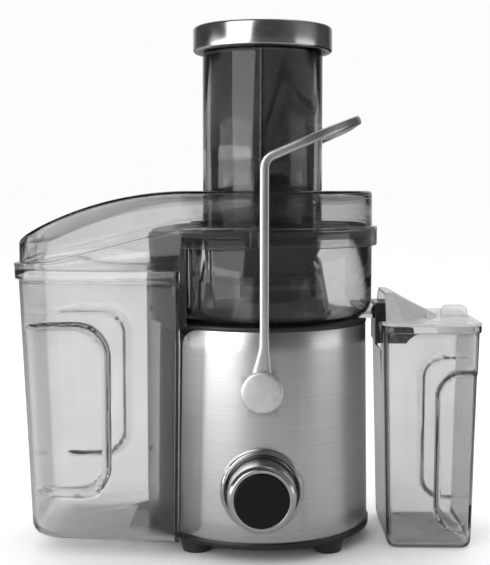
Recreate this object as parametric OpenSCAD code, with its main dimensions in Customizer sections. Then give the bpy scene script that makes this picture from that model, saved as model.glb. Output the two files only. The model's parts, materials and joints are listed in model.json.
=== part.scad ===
// Centrifugal juicer: a motor base, a clear juice bowl round a spinning filter basket, a clear cover with
// its feed chute and pusher, a pulp container, a juice jug with a lid, and a swing-over locking arm.
// Millimetres, +Z up. The knob faces -Y, the pulp container is on -X and the jug is on +X.

/* [Motor base] */
// Radius of the steel wrap at its lower edge
base_r = 80.5; // [80:0.25:81]
// Radius of the steel wrap at its upper edge
base_top_r = 78.5; // [78:0.25:79]
// Height of the motor deck, which the juice bowl stands on
deck_z = 167; // [166:0.5:168]
// Height of the rubber feet
foot_h = 12; // [11.5:0.25:12.5]
// Height of the control knob's axis
knob_z = 53; // [50:1:57]
// Height of the locking arm's pivot
pivot_z = 124.5; // [123:0.5:126]

/* [Bowl and cover] */
// Outer radius of the juice bowl
bowl_r = 82.6; // [82.4:0.1:82.8]
// Height of the bowl's upper edge
bowl_top = 228; // [227.5:0.25:228.5]
// Height of the flat top of the cover
cover_top = 262; // [260:0.5:264]
// Outer radius of the feed chute
chute_r = 45; // [44.5:0.25:45.5]
// Height of the feed chute's upper edge
chute_top = 364; // [355:1:366]

/* [Pulp container and jug] */
// Height of the pulp container's rim
bin_top = 206; // [205:0.5:207]
// Height of the jug's rim
jug_top = 165; // [164:0.5:166]
// Right-hand end of the jug, from the motor axis
jug_right = 157.5; // [156:0.5:159]

/* [Walls] */
// Wall of the clear mouldings
wall = 2.5; // [2.2:0.1:2.8]
// Wall of the pulp container and the jug
thin_wall = 2.2; // [2:0.1:2.4]

/* [Hidden] */
$fn = 96;
eps = 0.01;

// Outline of the cover, seen from above
corner_r = 28;
corner = [-148.2, 38.5];
skirt_out = 3.8;
skirt_gap = 0.8;

// Base
skirt_r = base_r + 1.2;
cover_z = foot_h - 2;
wrap_z = foot_h + 2.5;
shelf_t = 4.5;
wrap_top = deck_z - 3;
wrap_t = 0.8;
housing_gap = 0.1;
housing_wall = 2.5;
foot_at = 48;

// Locking arm
arm_in = 87.5;
arm_t = 4.5;
arm_w = 6.4;
arm_x = 1.5;
arm_slope = 23.2;
arm_corner_z = 283.5;
cap_r = 14.6;
cap_t = 4;
pin_r = 4;

// Control knob
knob_y = 83.5;
knob_h = 24.5;
bezel_r = 29.4;

// Basket and drive
disc_z = 198;
disc_r = 40;
rim_z = 224;
rim_r = 57.5;
shaft_r = 4;
run = 0.05;

// Jug
jug_left = 88;
jug_half = 52;
rim_out = 1.3;

// The row's origin is the middle of the whole object's box, on the worktop
left_reach = -corner[0] + corner_r + skirt_out;
right_reach = jug_right + rim_out;
front_reach = knob_y + knob_h;
rear_reach = arm_in + arm_t + cap_t;
axis_x = (left_reach - right_reach) / 2;
axis_y = (front_reach - rear_reach) / 2;

// ---------------------------------------------------------------- helpers

// Moves a piece from the motor axis to its place in the row
module at_axis() {
    translate([axis_x, axis_y, 0]) children();
}

// A piece and its copy on the rear side
module front_and_rear() {
    children();
    mirror([0, 1, 0]) children();
}

// A cylinder along Y from y0 to y1, with its axis at x, z
module y_rod(r, y0, y1, x = 0, z = 0) {
    translate([x, y1, z]) rotate([90, 0, 0]) cylinder(r = r, h = y1 - y0);
}

// A 2D shape in X and Z, drawn out along Y from y0 to y1
module y_prism(y0, y1) {
    translate([0, y1, 0]) rotate([90, 0, 0]) linear_extrude(y1 - y0) children();
}

// A plain ring or tube
module ring(r_out, r_in, z0, z1) {
    translate([0, 0, z0]) difference() {
        cylinder(r = r_out, h = z1 - z0);
        translate([0, 0, -1]) cylinder(r = r_in, h = z1 - z0 + 2);
    }
}

// A cone frustum from z0 to z1
module frustum(z0, r0, z1, r1) {
    translate([0, 0, z0]) cylinder(r1 = r0, r2 = r1, h = z1 - z0);
}

// Copies a piece to n places round the axis
module around(n, start = 0) {
    for (i = [0 : n - 1]) rotate(start + i * 360 / n) children();
}

// Copies a piece to the four corners at +-x, +-y
module at_corners(x, y) {
    for (sx = [-1, 1], sy = [-1, 1]) translate([sx * x, sy * y, 0]) children();
}

function arc(c, r, a0, a1, n) = [for (i = [0 : n]) c + r * [cos(a0 + (a1 - a0) * i / n), sin(a0 + (a1 - a0) * i / n)]];

function flipped(points) = [for (i = [len(points) - 1 : -1 : 0]) [points[i][0], -points[i][1]]];

// A rectangle with corners of radius r
function round_rect(x0, y0, x1, y1, r, n = 5) = concat(
    arc([x1 - r, y1 - r], r, 0, 90, n),
    arc([x0 + r, y1 - r], r, 90, 180, n),
    arc([x0 + r, y0 + r], r, 180, 270, n),
    arc([x1 - r, y0 + r], r, 270, 360, n)
);

// ---------------------------------------------------------------- outlines

// Direction of the outward normal of the cover's straight front side
side_angle = atan2(-corner[1], corner[0]) + acos((bowl_r - corner_r) / norm(corner));
side_normal = [cos(side_angle), sin(side_angle)];

// Outline of the cover, o outside its wall
function cover_outline(o) = let (
    front = concat(
        arc([corner[0], -corner[1]], corner_r + o, -180, side_angle, 14),
        arc([0, 0], bowl_r + o, side_angle, 0, 24)
    )
) concat(front, flipped(front));

// Y of the container's straight front side at x, on the outline moved by o and taken a share t to the floor
function bin_corner(t) = [corner[0] + 7 * t, -corner[1] + 2.5 * t];
function bin_side_y(x, o, t) = let (p = bin_corner(t) + (corner_r + o) * side_normal)
    p[1] - (x - p[0]) * side_normal[0] / side_normal[1];

// Outline of the pulp container before the base is cut out of it
function bin_outline(o, t, x_end) = let (
    front = concat(
        arc(bin_corner(t), corner_r + o, -180, side_angle, 14),
        [[x_end, bin_side_y(x_end, o, t)]]
    )
) concat(front, flipped(front));

// Side view of the cover's top: flat, then a long arc down to the left, drop below the outer face
crown_x = -50;
crown_r = 241;
module cover_side(drop, z0) {
    polygon(concat(
        [[120, z0], [120, cover_top - drop]],
        arc([crown_x, cover_top - crown_r], crown_r - drop, 90, 127, 24),
        [[crown_x - 155, z0]]
    ));
}

function housing_r(z) = base_r + (base_top_r - base_r) * (z - wrap_z) / (wrap_top - wrap_z);

// ---------------------------------------------------------------- motor base, outside

// Shallow black tray that closes the base, with vents and the shelf that carries the pulp container
module bottom_cover() color("#101010") {
    difference() {
        translate([0, 0, cover_z]) cylinder(r = skirt_r, h = wrap_z - cover_z);
        translate([0, 0, cover_z + wall]) cylinder(r = skirt_r - 3, h = wrap_z);
        for (s = [-1, 1], i = [0 : 6])
            translate([s * 34 - 14, i * 7 - 22.5, cover_z - 1]) cube([28, 3, 5]);
        at_corners(foot_at, foot_at) translate([0, 0, cover_z - 1]) cylinder(r = 5, h = 5);
        screw_places() translate([0, 0, cover_z - 1]) cylinder(r = 1.9, h = 5);
    }
    difference() {
        translate([-99, -30, bin_z - 0.3 - shelf_t]) cube([33, 60, shelf_t]);
        translate([0, 0, cover_z + 0.2]) cylinder(r = skirt_r - 0.5, h = 8);
    }
}

module screw_places() {
    for (a = [20, 160, 200, 340]) rotate(a) translate([66, 0, 0]) children();
}

// Black inner shell of the base
module base_housing() color("#161616") difference() {
    union() {
        difference() {
            frustum(wrap_z, housing_r(wrap_z) - wrap_t - housing_gap,
                    deck_z - 7, housing_r(deck_z - 7) - wrap_t - housing_gap);
            frustum(wrap_z - 1, housing_r(wrap_z - 1) - wrap_t - housing_gap - housing_wall,
                    deck_z - 6, housing_r(deck_z - 6) - wrap_t - housing_gap - housing_wall);
        }
        screw_places() translate([0, 0, cover_z + wall]) cylinder(r = 5, h = 22);
        screw_places() translate([2, -2, wrap_z]) cube([10, 4, 12]);
    }
    screw_places() translate([0, 0, cover_z]) cylinder(r = 1.65, h = 20);
    front_and_rear() y_rod(8.6, -90, -60, 0, pivot_z);
    y_rod(5, -90, -60, 0, knob_z);
    y_rod(7.05, 60, 90, 0, 26);
}

// Side view of the gap in the steel wrap, which leaves the housing bare behind the pulp container
wrap_gap = 54;
wrap_corner = 12;
module wrap_window() {
    z0 = wrap_z - 1;
    z1 = wrap_top - wrap_corner;
    right = arc([wrap_gap + wrap_corner, z1], wrap_corner, 180, 90, 8);
    left = [for (i = [len(right) - 1 : -1 : 0]) [-right[i][0], right[i][1]]];
    polygon(concat([[wrap_gap, z0]], right, [[100, wrap_top], [100, wrap_top + 1], [-100, wrap_top + 1],
                   [-100, wrap_top]], left, [[-wrap_gap, z0]]));
}

// Brushed steel sheet round the front, the right side and the rear
module steel_wrap() color("#b9bcc0") difference() {
    frustum(wrap_z, housing_r(wrap_z), wrap_top, housing_r(wrap_top));
    frustum(wrap_z - 1, housing_r(wrap_z - 1) - wrap_t, wrap_top + 1, housing_r(wrap_top + 1) - wrap_t);
    rotate([0, 0, -90]) y_prism(-120, -20) wrap_window();
    front_and_rear() y_rod(9, -90, -60, 0, pivot_z);
    y_rod(9, -90, -60, 0, knob_z);
    y_rod(7.4, 60, 90, 0, 26);
}

// Black top of the base, with the hub that rises inside the bowl and the well for the drive coupling
hub_r0 = 49;
hub_r1 = 42.8;
hub_top = deck_z + 26;
well_z = deck_z + 8;
well_r = 22;
mount_at = 36.8;
module motor_deck() color("#121212") difference() {
    union() {
        difference() {
            union() {
                translate([0, 0, wrap_top + eps]) cylinder(r = base_top_r + 0.5, h = deck_z - wrap_top - eps);
                translate([0, 0, deck_z - 7 + eps]) cylinder(r = base_top_r - 3.8, h = 4.5);
                frustum(deck_z - 1, hub_r0 + 0.24, hub_top, hub_r1);
            }
            frustum(deck_z - 8, hub_r0 - 1.2, hub_top - 3, hub_r1 - 2.4);
            ring(base_top_r - 6.8, 56, deck_z - 8, deck_z - 3);
        }
        translate([0, 0, well_z]) cylinder(r = well_r + 3, h = hub_top - well_z);
        at_corners(mount_at, mount_at) translate([0, 0, 142.2]) cylinder(r = 5, h = deck_z - 144);
    }
    translate([0, 0, well_z + 3]) cylinder(r = well_r, h = 40);
    translate([0, 0, well_z - 1]) cylinder(r = 7, h = 10);
}

module rubber_feet() color("#1b1b1b") at_corners(foot_at, foot_at) {
    cylinder(r1 = 10, r2 = 12, h = cover_z - 0.05);
    cylinder(r = 4.9, h = cover_z + wall + 1);
    translate([0, 0, cover_z + wall + 0.05]) cylinder(r = 7, h = 2);
}

module cover_screws() color("#8f9296") screw_places() difference() {
    union() {
        translate([0, 0, cover_z - 2.3]) cylinder(r = 3.4, h = 2.25);
        translate([0, 0, cover_z - 1]) cylinder(r = 1.6, h = 19);
    }
    for (a = [0, 90]) rotate(a) translate([-2, -0.4, cover_z - 3]) cube([4, 0.8, 1.6]);
}

// Chromed ring round the control knob, fitted to the curve of the wrap
module dial_bezel() color("#c9cbce") difference() {
    y_rod(bezel_r, -base_r - 4.5, -70, 0, knob_z);
    y_rod(bezel_r - 4.1, -base_r - 6, -60, 0, knob_z);
    frustum(0, housing_r(0) + 0.05, deck_z, housing_r(deck_z) + 0.05);
}

// Rubber grommet for the mains lead, at the rear of the base
gland_z = 26;
gland_bore = 3.6;
module cord_gland() color("#202020") difference() {
    union() {
        y_rod(7, 70, 83.5, 0, gland_z);
        y_rod(9.5, base_r + 0.2, 83.5, 0, gland_z);
        y_rod(9, 70, 74.5, 0, gland_z);
    }
    y_rod(gland_bore, 60, 90, 0, gland_z);
}

// Plastic bosses that the arm's pins turn in
module pivot_bushes() color("#1a1a1a") front_and_rear() difference() {
    union() {
        y_rod(8.5, -arm_in + 0.3, -74, 0, pivot_z);
        y_rod(11, -arm_in + 0.3, -base_top_r - 1.8, 0, pivot_z);
    }
    y_rod(pin_r + run, -100, -60, 0, pivot_z);
}

// ---------------------------------------------------------------- motor base, inside

bolt_x = 31;
bolt_y = 26;
stack_z = 78;
stack_h = 40;
stack_top = stack_z + stack_h;

module stator_core() color("#6d7076") difference() {
    translate([0, 0, stack_z]) linear_extrude(stack_h) polygon(round_rect(-37, -32, 37, 32, 9));
    translate([0, 0, stack_z - 1]) cylinder(r = 24.6, h = stack_h + 2);
    at_corners(bolt_x, bolt_y) translate([0, 0, stack_z - 1]) cylinder(r = 2.1, h = stack_h + 2);
    for (s = [-1, 1]) translate([s * 24 - 3, -17, stack_z - 1]) cube([6, 34, stack_h + 2]);
}

// Copper field coils, seen as two loops at each end of the stack
module field_coils() color("#b5652b") for (s = [-1, 1], z = [stack_z - 7.05, stack_top + 0.05])
    translate([0, 0, z]) linear_extrude(7) difference() {
        polygon([for (p = arc([0, 0], 31, -38, 38, 12)) s * p]);
        circle(r = 25);
    }

module motor_plate(z, t, boss_z0, boss_z1, pocket_z, pillar_z0, pillar_z1) difference() {
    union() {
        translate([0, 0, z]) cylinder(r = 43, h = t);
        translate([0, 0, boss_z0]) cylinder(r = 12.5, h = boss_z1 - boss_z0);
        at_corners(bolt_x, bolt_y) translate([0, 0, pillar_z0]) cylinder(r = 4.5, h = pillar_z1 - pillar_z0);
        children();
    }
    translate([0, 0, boss_z0 - 1]) cylinder(r = 6, h = 30);
    translate([0, 0, pocket_z]) cylinder(r = 9.55, h = 7.1);
    at_corners(bolt_x, bolt_y) translate([0, 0, min(z, pillar_z0) - 1]) cylinder(r = 2.1, h = 60);
    around(4) translate([18, -6, z - 1]) cube([16, 12, t + 2]);
}

// Upper motor bracket, hung from the deck on rubber mounts
bracket_z = 130;
module upper_bracket() color("#9a9da1")
    motor_plate(bracket_z, 4, bracket_z - 4, bracket_z + 6, bracket_z - 3, stack_top + 0.05, bracket_z + 1)
        difference() {
            at_corners(mount_at, mount_at) translate([0, 0, bracket_z]) cylinder(r = 9, h = 4);
            at_corners(mount_at, mount_at) translate([0, 0, bracket_z - 1]) cylinder(r = 3, h = 8);
        }

lower_z = 40;
module lower_bracket() color("#9a9da1")
    motor_plate(lower_z, 3, lower_z - 7, lower_z + 3, lower_z - 5, lower_z + 2, stack_z - 0.05);

module motor_mounts() color("#252525") at_corners(mount_at, mount_at) difference() {
    union() {
        translate([0, 0, bracket_z + 4.05]) cylinder(r = 8, h = 8.1);
        translate([0, 0, bracket_z - 4]) cylinder(r = 2.9, h = 12);
        translate([0, 0, bracket_z - 4.05]) cylinder(r = 6, h = 4);
    }
    translate([0, 0, bracket_z - 5]) cylinder(r = 1.5, h = 20);
}

module bracket_screws() color("#8f9296") at_corners(bolt_x, bolt_y) {
    translate([0, 0, lower_z - 0.1]) cylinder(r = 2, h = bracket_z + 4.2 - lower_z);
    translate([0, 0, lower_z - 3.6]) cylinder(r = 3.8, h = 3.55);
    translate([0, 0, bracket_z + 4.05]) cylinder(r = 3.8, h = 2.6, $fn = 6);
}

module bearing(z) color("#a8abb0") ring(9.5, shaft_r + run, z, z + 7);
module upper_bearing() bearing(bracket_z - 2.95);
module lower_bearing() bearing(lower_z - 4.95);

brush_z = 57;
module carbon_brushes() color("#2b2b2b") for (s = [0, 180]) rotate(s)
    translate([11.2, -3, brush_z - 2.5]) cube([14, 6, 5]);

module brush_holders() color("#caa64a") for (s = [0, 180]) rotate(s) {
    difference() {
        translate([14, -5, brush_z - 4.5]) cube([18, 10, 9]);
        translate([13, -3.05, brush_z - 2.55]) cube([17, 6.1, 5.1]);
    }
    translate([16, -7, 43.05]) cube([14, 14, brush_z - 4.5 - 43.05]);
}

// Lip seal in the well, round the motor shaft
module shaft_seal() color("#303030") {
    ring(6.95, shaft_r + 0.1, well_z - 0.5, well_z + 4);
    ring(9.5, shaft_r + 0.1, well_z + 3.05, well_z + 5.5);
}

module rotary_switch() color("#efe9dc") difference() {
    union() {
        translate([-13, -72, knob_z - 13]) cube([26, 20, 26]);
        y_rod(4.9, -76, -70, 0, knob_z);
        for (x = [-8, 0, 8]) translate([x - 1.5, -53, knob_z - 6]) cube([3, 7, 0.8]);
    }
    y_rod(3.1, -90, -62, 0, knob_z);
}

// Circuit board with its capacitor, choke and terminal block
module control_board() {
    color("#2f6b3a") translate([50, -26, 58]) cube([1.6, 52, 52]);
    color("#c9a227") translate([38.5, -20, 64]) cube([11.45, 16, 12]);
    color("#b5652b") translate([49.95, 12, 70]) rotate([0, -90, 0]) cylinder(r = 7, h = 9);
    color("#dddddd") translate([41, -10, 92]) cube([8.95, 30, 11]);
    color("#161616") for (y = [-22, 18]) translate([51.65, y, 60]) cube([16, 4, 48]);
}

// ---------------------------------------------------------------- lock interlock

cam_y0 = -72;
cam_y1 = -68;
cam_top_r = 10;
cam_drop = 3;
function cam_r(a) = cam_top_r - cam_drop * min(max(a, 0), 90) / 90;

// Snail cam on the front pin: its radius falls evenly over a quarter turn
module interlock_cam() color("#d8d4c8") difference() {
    translate([0, 0, pivot_z]) y_prism(cam_y0, cam_y1)
        polygon([for (a = [-15 : 5 : 335]) cam_r(a > 180 ? 90 : a) * [-sin(a), cos(a)]]);
    y_rod(pin_r + run, -90, -60, 0, pivot_z);
}

plunger_z0 = pivot_z + cam_top_r + 0.3;
plunger_top = plunger_z0 + 14;
plunger_y = (cam_y0 + cam_y1) / 2;
module interlock_plunger() color("#e6e2d6") translate([0, plunger_y, 0]) {
    translate([0, 0, plunger_z0 + 2]) cylinder(r = 2, h = 12);
    translate([0, 0, plunger_z0 + 2]) sphere(r = 2);
    translate([0, 0, plunger_z0 + 7.7]) cylinder(r = 4, h = 1.3);
}

module plunger_guide() color("#1c1c1c") difference() {
    union() {
        translate([-7, -74, plunger_z0 + 2.2]) cube([14, 11, 2]);
        for (s = [-1, 1]) translate([s * 6 - 1, -74, plunger_z0 + 2.2]) cube([2, 11, 12]);
    }
    translate([0, plunger_y, plunger_z0]) cylinder(r = 2.1, h = 10);
}

module microswitch() color("#262626") translate([-9, -74, plunger_top + 0.35]) difference() {
    cube([18, 11, 8]);
    for (x = [4, 14]) translate([x, -1, 4]) rotate([-90, 0, 0]) cylinder(r = 1, h = 13);
}

// Return spring of the plunger, a round wire swept along a helix
spring_r = 3.1;
wire_r = 0.35;
spring_turns = 4;
spring_steps = 14;
spring_z0 = plunger_z0 + 9.4;
spring_h = 4.4;
module interlock_spring() color("#b8bbbf") translate([0, plunger_y, spring_z0]) {
    n = spring_turns * spring_steps;
    sides = 6;
    rings = [for (i = [0 : n]) let (a = i * 360 / spring_steps, z = spring_h * i / n) [
        for (k = [0 : sides - 1]) let (b = k * 360 / sides, r = spring_r + wire_r * cos(b))
            [r * cos(a), r * sin(a), z + wire_r * sin(b)]
    ]];
    points = [for (one = rings) for (p = one) p];
    walls = [for (i = [0 : n - 1], k = [0 : sides - 1]) let (a = i * sides, j = (k + 1) % sides)
        [a + k, a + sides + k, a + sides + j, a + j]];
    ends = [[for (k = [0 : sides - 1]) k], [for (k = [sides - 1 : -1 : 0]) n * sides + k]];
    polyhedron(points, concat(walls, ends));
}

// ---------------------------------------------------------------- bowl and cover

// Half section of a cup with a rounded foot
module cup_2d(r, z0, z1, c) {
    polygon(concat([[0, z1], [0, z0]], arc([r - c, z0 + c], c, -90, 0, 10), [[r, z1]]));
}

foot_round = 14;
collar_top = deck_z + 30;
function collar_r(z) = 53 - 7 * (z - deck_z) / 30;
stub_y = 15;
stub_in = 69;
stub_x = 100;
stub_z = deck_z + 0.2;
stub_h = 9.3;
module juice_bowl() color("#6a6a6a") difference() {
    union() {
        rotate_extrude() difference() {
            cup_2d(bowl_r, deck_z, bowl_top, foot_round);
            cup_2d(bowl_r - wall, deck_z + wall, bowl_top + 5, foot_round - wall);
        }
        bowl_ribs();
    }
    translate([0, 0, deck_z - 1]) cylinder(r = collar_r(deck_z) + run, h = 10);
    translate([stub_in, -stub_y - run, stub_z - run]) cube([stub_x, 2 * (stub_y + run), stub_h + 2 * run]);
}

// Flat tube at the bowl's floor that the juice runs out through
module outlet_tube() color("#6a6a6a") difference() {
    translate([stub_in, -stub_y, stub_z]) cube([stub_x - stub_in, 2 * stub_y, stub_h]);
    translate([stub_in - 1, 2 - stub_y, deck_z + 2.4]) cube([stub_x, 2 * stub_y - 4, 5.1]);
}

// The bowl's inner cone wall, which keeps juice out of the drive
module bowl_collar() color("#6a6a6a") difference() {
    frustum(deck_z, collar_r(deck_z), collar_top, collar_r(collar_top));
    frustum(deck_z - 1, collar_r(deck_z - 1) - wall, collar_top + 1, collar_r(collar_top + 1) - wall);
}

// Two upright ribs on the front left of the bowl, which steady the container's edge
module bowl_ribs() for (a = [-127.5, -116.5]) rotate(a)
    translate([bowl_r - 1, -1.6, deck_z + 14]) cube([1.9, 3.2, bowl_top - deck_z - 21]);

// Hooded nozzle that clips over the bowl's outlet and points down into the jug
spout_half = 17.2;
spout_outer = [[84.6, deck_z + 11.6], [99, deck_z + 11.2], [117.4, deck_z - 0.1], [117.6, deck_z - 6],
               [108, deck_z - 19], [86, deck_z - 19], [84.6, deck_z - 17.6]];
spout_inner = [[98, deck_z + 1.5], [100.2, deck_z + 8.3], [115.2, deck_z - 1.1], [115.4, deck_z - 5.4],
               [106.6, deck_z - 20], [89, deck_z - 20], [89, deck_z - 6], [97, deck_z - 2.4]];
module juice_spout() color("#2a2a2a") difference() {
    y_prism(-spout_half, spout_half) polygon(spout_outer);
    y_prism(2.1 - spout_half, spout_half - 2.1) polygon(spout_inner);
    translate([80, -stub_y - 0.1, stub_z - 0.1]) cube([stub_x - 79.9, 2 * stub_y + 0.2, stub_h + 0.2]);
}

// Ring that parts the pulp above it from the juice below it
deck_in = 64.5;
module pulp_deck() color("#5a5a5a") {
    ring(bowl_r - 0.1, deck_in, bowl_top + 0.05, bowl_top + 2.05);
    ring(deck_in + 2, deck_in, bowl_top - 1, bowl_top + 4);
}

// Dark curved wall that clips round the bowl and parts it from the pulp container
module pulp_shield() color("#1d1d1d") difference() {
    ring(84.8, bowl_r + 0.05, deck_z + 0.05, bowl_top - 1.5);
    translate([-53.5, -100, deck_z - 1]) cube([200, 200, 80]);
}

// Where the cover's skirt is stepped out: level round the bowl, then falling to the left
ledge_z = bowl_top + 8;
skirt_z = bowl_top - 6;
step_x = -56;
end_x = corner[0] - corner_r - 8;
knee = [corner[0], bin_top + 6.5];
module skirt_side(z_under, lift) polygon([
    [100, skirt_z - z_under], [100, ledge_z + lift], [step_x, ledge_z + lift], knee + [0, lift],
    [end_x, bin_top + 4 + lift], [end_x, bin_top + 0.4 - z_under],
    [step_x, bin_top + 0.4 - z_under], [step_x, skirt_z - z_under]
]);

module cover_solid(o, drop) intersection() {
    translate([0, 0, bin_top - 20]) linear_extrude(120) polygon(cover_outline(o));
    y_prism(-120, 120) cover_side(drop, skirt_z - 40);
}

// The hollow shell without its chute: a domed upper part and a wider skirt, open below
module cover_shell() difference() {
    union() {
        intersection() {
            cover_solid(0, 0);
            y_prism(-120, 120) polygon([
                [100, ledge_z - 1], [100, cover_top + 5], [-200, cover_top + 5], [-200, bin_top + 3],
                knee - [0, 1], [step_x, ledge_z - 1]
            ]);
        }
        intersection() {
            translate([0, 0, bin_top - 20]) linear_extrude(100) polygon(cover_outline(skirt_out));
            y_prism(-120, 120) skirt_side(0, 0);
        }
    }
    cover_solid(-wall, wall);
    intersection() {
        translate([0, 0, bin_top - 21]) linear_extrude(100) polygon(cover_outline(skirt_gap));
        y_prism(-120, 120) skirt_side(2, -wall);
    }
}

module top_cover() color("#8a8a8a") {
    difference() {
        cover_shell();
        translate([0, 0, bowl_top]) cylinder(r = chute_r + 0.05, h = 60);
    }
    front_and_rear() {
        translate([-6, -skirt_out - bowl_r + 0.2, ledge_z - 0.5]) cube([10.5, 4.2, 2.6]);
        translate([-8.2, -91, ledge_z - 12]) cube([6, 91 - bowl_r - 2, 11]);
    }
}

// Clear tube that the food goes down, let into the cover
module feed_chute() color("#8a8a8a") ring(chute_r, chute_r - 3, bowl_top - 14, chute_top);

// Silicone seal under the cover's ledge, open on the pulp side
module cover_gasket() color("#3a3a3a") rotate(-135) translate([0, 0, bowl_top + 2.1])
    rotate_extrude(angle = 270) translate([80.6, 0]) square([1.9, 3.2]);

// ---------------------------------------------------------------- spinning parts

module rotor_shaft() color("#c3c6ca") {
    translate([0, 0, 31]) cylinder(r = shaft_r, h = hub_top - 32);
}

module armature_core() color("#73777d") difference() {
    translate([0, 0, stack_z]) cylinder(r = 24.1, h = stack_h);
    translate([0, 0, stack_z - 1]) cylinder(r = shaft_r, h = stack_h + 2);
    around(12) translate([15, -1.6, stack_z - 1]) cube([12, 3.2, stack_h + 2]);
}

module armature_windings() color("#a8562a") {
    for (z = [stack_z - 7, stack_top + 0.05]) ring(20, shaft_r, z, z + 6.95);
    around(12) translate([15.1, -1.5, stack_z - 0.1]) cube([8, 3, stack_h + 0.2]);
}

module commutator() color("#c98a4b") difference() {
    ring(11, shaft_r, 50, 65);
    around(12, 15) translate([9.5, -0.4, 49]) cube([3, 0.8, 17]);
}

fan_z = 146;
module cooling_fan() color("#e4e4e0") {
    difference() {
        union() {
            translate([0, 0, fan_z]) cylinder(r = 44, h = 1.6);
            translate([0, 0, fan_z]) cylinder(r = 9, h = 9);
            around(9) translate([8, -0.8, fan_z]) cube([35, 1.6, 8.5]);
        }
        translate([0, 0, fan_z - 1]) cylinder(r = shaft_r, h = 20);
    }
}

// Drive dog on top of the shaft
coupling_z = well_z + 7;
module drive_coupling() color("#1f1f1f") difference() {
    union() {
        translate([0, 0, coupling_z]) cylinder(r = 11, h = 14);
        around(3) translate([9, -2.5, coupling_z]) cube([5.5, 5, 14]);
    }
    translate([0, 0, coupling_z - 1]) cylinder(r = shaft_r, h = hub_top - coupling_z);
}

module basket_hub() color("#141414") difference() {
    union() {
        translate([0, 0, coupling_z + 2]) cylinder(r = 19, h = disc_z - coupling_z - 2);
        translate([0, 0, disc_z - 2]) cylinder(r = disc_r, h = 2);
    }
    translate([0, 0, coupling_z]) cylinder(r = 11.3, h = 14.5);
    around(3) translate([8, -2.8, coupling_z]) cube([7, 5.6, 14.5]);
}

// Steel disc with rows of small teeth that swing out in spirals
module grater_disc() color("#c2c5c9") {
    translate([0, 0, disc_z + 0.05]) cylinder(r = disc_r - 1.5, h = 1.1);
    around(6) for (i = [0 : 6]) rotate(i * 7) translate([9 + i * 4.2, 0, disc_z + 1.1]) rotate(35)
        translate([-1.2, -0.35, 0]) cube([2.4, 0.7, 1.3]);
}

// Filter wall, a steel cone that widens upwards
module filter_cone() color("#9b9ea3") difference() {
    frustum(disc_z + 0.05, disc_r, rim_z, rim_r);
    frustum(disc_z - 0.95, disc_r - 0.9 - 0.67, rim_z + 1, rim_r - 0.9 + 0.67);
}

module basket_rim() color("#141414") difference() {
    ring(61.5, 55.5, rim_z - 2.5, rim_z + 4.5);
    frustum(rim_z - 10, rim_r + 0.05 - 6.7, rim_z + 0.05, rim_r + 0.05);
}

// ---------------------------------------------------------------- pusher

pusher_r = 39.3;
pusher_z0 = 208;
module pusher_body() color("#0c0c0c") difference() {
    union() {
        translate([0, 0, pusher_z0]) cylinder(r = pusher_r, h = chute_top - pusher_z0 + 0.8);
        translate([0, 0, chute_top + 0.4]) cylinder(r = 47, h = 3);
        around(3, 30) translate([pusher_r - 1, -1.5, pusher_z0 + 12]) cube([3.1, 3, chute_top - pusher_z0 - 12]);
    }
    translate([0, 0, pusher_z0 + wall]) cylinder(r = pusher_r - wall, h = 200);
}

// Brushed steel cap, a shell with a dished top
cap_top = 383;
module pusher_cap() color("#c4c7cb") difference() {
    rotate_extrude() polygon(concat(
        [[0, chute_top + 0.6], [50.8, chute_top + 0.6], [52, chute_top + 1.8]],
        arc([52 - 2.5, cap_top - 2.5], 2.5, 0, 90, 5),
        [[45.5, cap_top], [44, cap_top - 1.4], [0, cap_top - 1.4]]
    ));
    translate([0, 0, chute_top - 1]) cylinder(r = 47.05, h = 4.45);
    translate([0, 0, chute_top - 1]) cylinder(r = 43, h = cap_top - chute_top - 3);
}

// ---------------------------------------------------------------- locking arm

bend_r = 9;
bend_turn = 90 - arm_slope;
bend_z = arm_corner_z - bend_r * tan(bend_turn / 2);
bend_centre = [arm_x + bend_r, bend_z];
loop_corner = 45;
loop_reach = 66;
arm_out = arm_in + arm_t;
eye_r = 12.5;
neck = 6.6;

// A point on the handle's slope, along it by u and above its middle line by v
function on_slope(u, v) = bend_centre + u * [cos(arm_slope), sin(arm_slope)]
    + (bend_r + v) * [-sin(arm_slope), cos(arm_slope)];

// Side view of one leg: the eye round its pin, the upright, the bend and the start of the sloping handle
module arm_leg_2d() {
    translate([0, pivot_z]) circle(r = eye_r);
    polygon(concat(
        [[-neck, pivot_z + 8], [neck, pivot_z + 8], [neck, pivot_z + 14], [arm_x + arm_w / 2, pivot_z + 30]],
        arc(bend_centre, bend_r - arm_w / 2, 180, 180 - bend_turn, 6),
        [on_slope(14, -arm_w / 2), on_slope(14, arm_w / 2)],
        arc(bend_centre, bend_r + arm_w / 2, 180 - bend_turn, 180, 8),
        [[arm_x - arm_w / 2, pivot_z + 30], [-neck, pivot_z + 14]]
    ));
}

// The handle's U seen square to its slope, its outer edge moved inwards by d
module arm_u_2d(d, x_start) {
    r = loop_corner + arm_t / 2 - d;
    reach = loop_reach + arm_t / 2 - d;
    polygon(concat(
        [[x_start, -arm_out + d]], arc([reach - r, -arm_out + d + r], r, -90, 0, 16),
        arc([reach - r, arm_out - d - r], r, 0, 90, 16), [[x_start, arm_out - d]]
    ));
}

// The handle, let a little way into both legs
module arm_loop() translate([bend_centre[0] - bend_r * sin(arm_slope), 0, bend_z + bend_r * cos(arm_slope)])
    rotate([0, -arm_slope, 0]) translate([0, 0, 0.1 - arm_w / 2]) linear_extrude(arm_w - 0.2) difference() {
        arm_u_2d(0.1, 6);
        arm_u_2d(arm_t - 0.1, 0);
    }

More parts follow.
